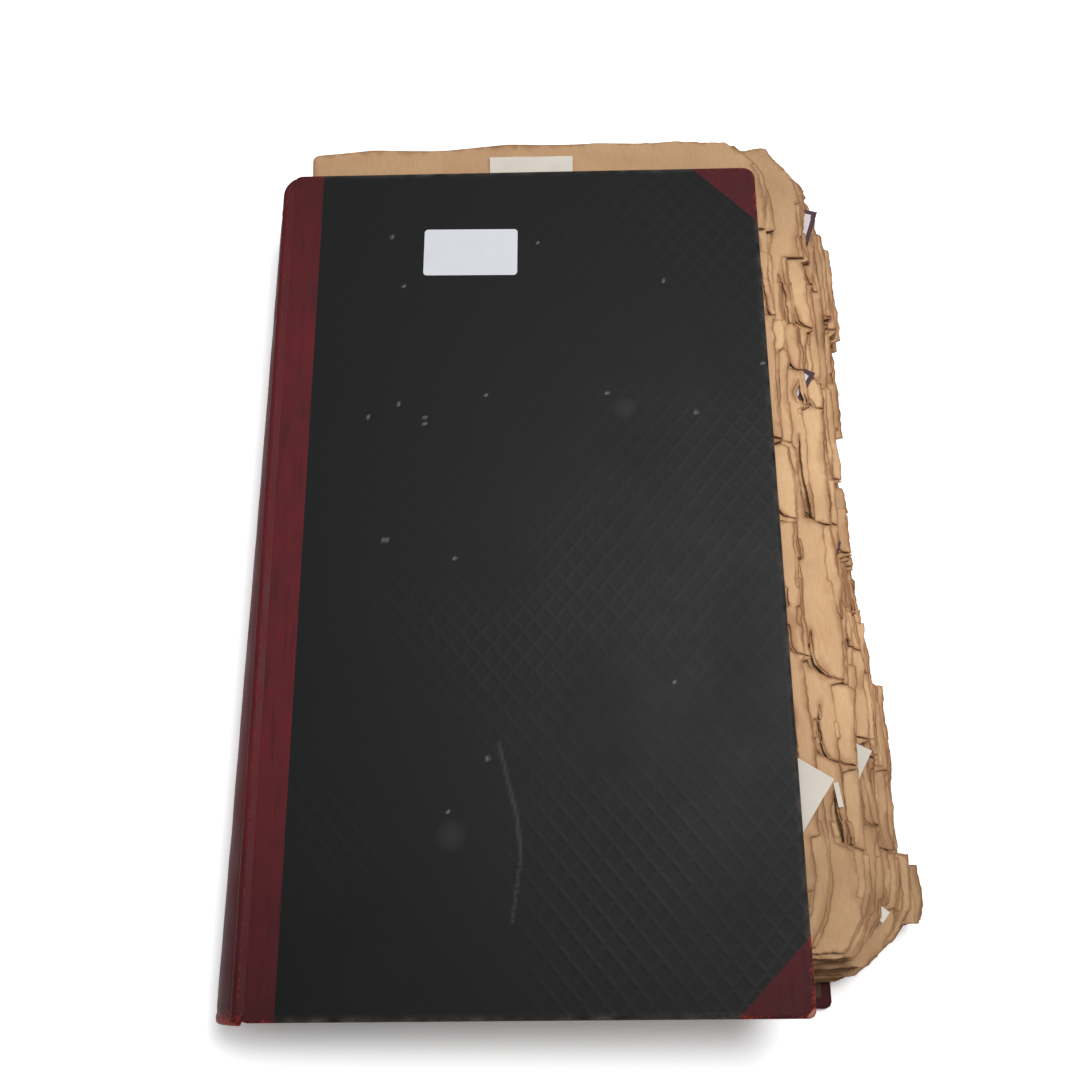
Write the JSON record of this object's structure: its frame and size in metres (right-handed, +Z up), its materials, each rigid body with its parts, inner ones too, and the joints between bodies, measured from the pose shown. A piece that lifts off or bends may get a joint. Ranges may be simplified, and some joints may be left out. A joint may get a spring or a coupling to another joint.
{
  "type": "scrapbook",
  "caption": "Tall half-bound ledger-type scrapbook with leather spine and corners, cloth sides, round hollow spine, hinged cover and torn, slipped leaves.",
  "frame": {"origin": "middle of the back cover's underside, where the closed book lies", "axes": "+X from the spine to the fore edge, +Y from the tail to the head, +Z up out of the front cover"},
  "size_m": [0.2568, 0.3469, 0.0518],
  "materials": {
    "leather": "oxblood sheepskin, rubbed, orange-red where worn",
    "book_cloth": "near-black green-grey book cloth, embossed with fine slanting scales, low sheen",
    "millboard": "grey-brown pressed millboard",
    "endpaper": "browned plain endpaper",
    "kraft_leaf": "brittle tan wrapping-paper leaves, darker at the torn edges",
    "white_paper": "off-white cut papers, bare",
    "purple_card": "dark purple card",
    "linen_tape": "unbleached linen sewing tape",
    "label_paper": "white sticky label, bare"
  },
  "bodies": {
    "back_cover_and_block": {"front_joint_leather": "leather", "back_board": "millboard", "back_side_cloth": "book_cloth", "back_leather_strip": "leather", "back_head_corner": "leather", "back_tail_corner": "leather", "back_pastedown": "endpaper", "back_tape_slips": "linen_tape", "back_flyleaf": "endpaper", "back_joint_leather": "leather", "spine_leather": "leather", "spring_back": "millboard", "spine_lining": "endpaper", "spine_tapes": "linen_tape", "head_cap": "leather", "tail_cap": "leather", "white_slips": "white_paper", "purple_card_head": "purple_card", "purple_card_middle": "purple_card", "purple_card_low": "purple_card", "section_01": "kraft_leaf", "section_02": "kraft_leaf", "section_03": "kraft_leaf", "section_04": "kraft_leaf", "section_05": "kraft_leaf", "section_06": "kraft_leaf", "section_07": "kraft_leaf", "section_08": "kraft_leaf"},
    "front_cover": {"front_board": "millboard", "front_side_cloth": "book_cloth", "front_leather_strip": "leather", "front_head_corner": "leather", "front_tail_corner": "leather", "front_pastedown": "endpaper", "front_tape_slips": "linen_tape", "lot_label": "label_paper"},
    "front_flyleaf_body": {"front_flyleaf": "endpaper"},
    "section_11_body": {"section_11": "kraft_leaf", "head_clipping": "white_paper", "loose_sheet": "white_paper"},
    "section_10_body": {"section_10": "kraft_leaf"},
    "section_09_body": {"section_09": "kraft_leaf"}
  },
  "joints": [
    {"name": "front_cover_hinge", "type": "hinge", "parent": "back_cover_and_block", "child": "front_cover", "pos_m": [-0.115, 0, 0.0392], "axis": [0, -1, 0], "range_deg": [0, 187]},
    {"name": "front_flyleaf_turn", "type": "hinge", "parent": "back_cover_and_block", "child": "front_flyleaf_body", "pos_m": [-0.115, 0, 0.0392], "axis": [0, -1, 0], "range_deg": [0, 184.7]},
    {"name": "section_11_turn", "type": "hinge", "parent": "back_cover_and_block", "child": "section_11_body", "pos_m": [-0.115, 0, 0.0392], "axis": [0, -1, 0], "range_deg": [0, 181]},
    {"name": "section_10_turn", "type": "hinge", "parent": "back_cover_and_block", "child": "section_10_body", "pos_m": [-0.115, 0, 0.0392], "axis": [0, -1, 0], "range_deg": [0, 177.2]},
    {"name": "section_09_turn", "type": "hinge", "parent": "back_cover_and_block", "child": "section_09_body", "pos_m": [-0.115, 0, 0.0392], "axis": [0, -1, 0], "range_deg": [0, 172.5]}
  ],
  "couplings": [
    {"joint": "front_flyleaf_turn", "follows": "front_cover_hinge", "ratio": 0.985},
    {"joint": "section_11_turn", "follows": "front_cover_hinge", "ratio": 0.965},
    {"joint": "section_10_turn", "follows": "front_cover_hinge", "ratio": 0.945},
    {"joint": "section_09_turn", "follows": "front_cover_hinge", "ratio": 0.92}
  ]
}
